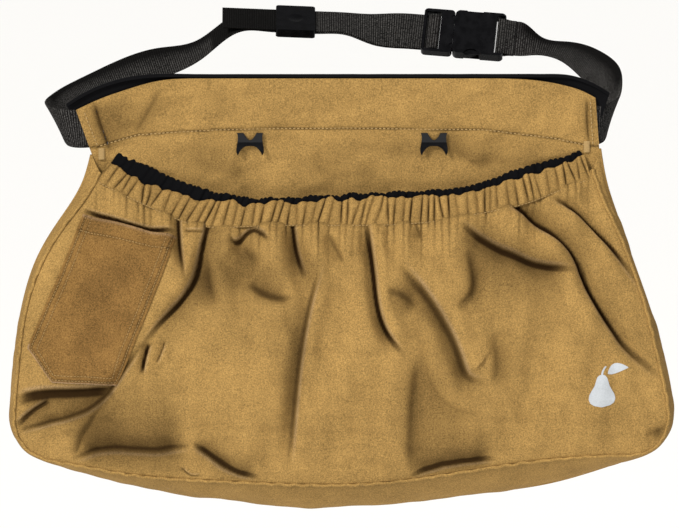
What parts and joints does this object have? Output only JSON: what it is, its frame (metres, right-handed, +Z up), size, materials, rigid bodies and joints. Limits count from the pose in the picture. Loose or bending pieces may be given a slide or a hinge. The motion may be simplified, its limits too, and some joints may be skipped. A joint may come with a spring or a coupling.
{
  "type": "fruit picking bag",
  "caption": "Canvas half-apron picking pouch with a gathered elastic mouth, patch pocket, metal hooks and a webbing waist belt with a side-release buckle.",
  "frame": {"origin": "middle of the waistband's back face, at mid height, where it lies on the wearer", "axes": "+X along the waistband to the viewer's right, +Y toward the wearer, +Z up"},
  "size_m": [0.6398, 0.3098, 0.4416],
  "materials": {
    "canvas": "tan cotton canvas, plain weave, washed look",
    "canvas_pocket": "the same canvas, a shade browner",
    "facing_cloth": "black lining cloth",
    "elastic": "black ribbed elastic",
    "thread": "tan sewing thread, dense bar stitch",
    "webbing": "black polypropylene webbing with cross ribs",
    "buckle_plastic": "black moulded acetal, slightly glossy",
    "hook_metal": "gloss black enamelled sheet steel"
  },
  "bodies": {
    "bag": {"back_panel": "canvas", "waistband_facing": "facing_cloth", "front_panel": "canvas", "side_bottom_gusset": "canvas", "pocket": "canvas_pocket", "bartack_left": "thread", "bartack_right": "thread", "belt_strap": "webbing", "belt_right": "webbing", "buckle_male": "buckle_plastic", "hook_bar_left": "hook_metal", "hook_bar_right": "hook_metal"},
    "mouth": {"elastic_casing": "canvas", "elastic_band": "elastic"},
    "female_end": {"buckle_female": "buckle_plastic", "belt_end_loop": "webbing"},
    "upper_prong": {"prong_upper": "buckle_plastic"},
    "lower_prong": {"prong_lower": "buckle_plastic"},
    "keeper": {"strap_keeper": "buckle_plastic"},
    "left_hook": {"hook_left": "hook_metal"},
    "right_hook": {"hook_right": "hook_metal"}
  },
  "joints": [
    {"name": "unclip", "type": "slide", "parent": "bag", "child": "female_end", "axis": [0.9943, -0.0871, -0.061], "range_m": [0, 0.035], "deforming": ["belt_right", "prong_upper", "prong_lower"]},
    {"name": "squeeze_upper", "type": "hinge", "parent": "bag", "child": "upper_prong", "pos_m": [0.10907, 0.18521, 0.03875], "axis": [0.0223, 0.7315, -0.6814], "range_deg": [0, 11], "stiffness_Nm_per_rad": 0.3},
    {"name": "squeeze_lower", "type": "hinge", "parent": "bag", "child": "lower_prong", "pos_m": [0.10585, 0.16424, 0.01614], "axis": [-0.0223, -0.7315, 0.6814], "range_deg": [0, 11], "stiffness_Nm_per_rad": 0.3},
    {"name": "keeper_slide", "type": "slide", "parent": "bag", "child": "keeper", "axis": [0.9987, 0.0206, -0.0463], "range_m": [-0.02, 0.02]},
    {"name": "tip_left_hook", "type": "hinge", "parent": "bag", "child": "left_hook", "pos_m": [-0.0875, -0.003, -0.027], "axis": [-1, 0, 0], "range_deg": [0, 32]},
    {"name": "tip_right_hook", "type": "hinge", "parent": "bag", "child": "right_hook", "pos_m": [0.0875, -0.003, -0.027], "axis": [-1, 0, 0], "range_deg": [0, 32]},
    {"name": "mouth_open", "type": "hinge", "parent": "bag", "child": "mouth", "pos_m": [0.004, -0.0095, -0.05], "axis": [-0.9999, 0, -0.015], "range_deg": [0, 40]}
  ],
  "couplings": [
    {"joint": "squeeze_lower", "follows": "squeeze_upper", "ratio": 1}
  ]
}
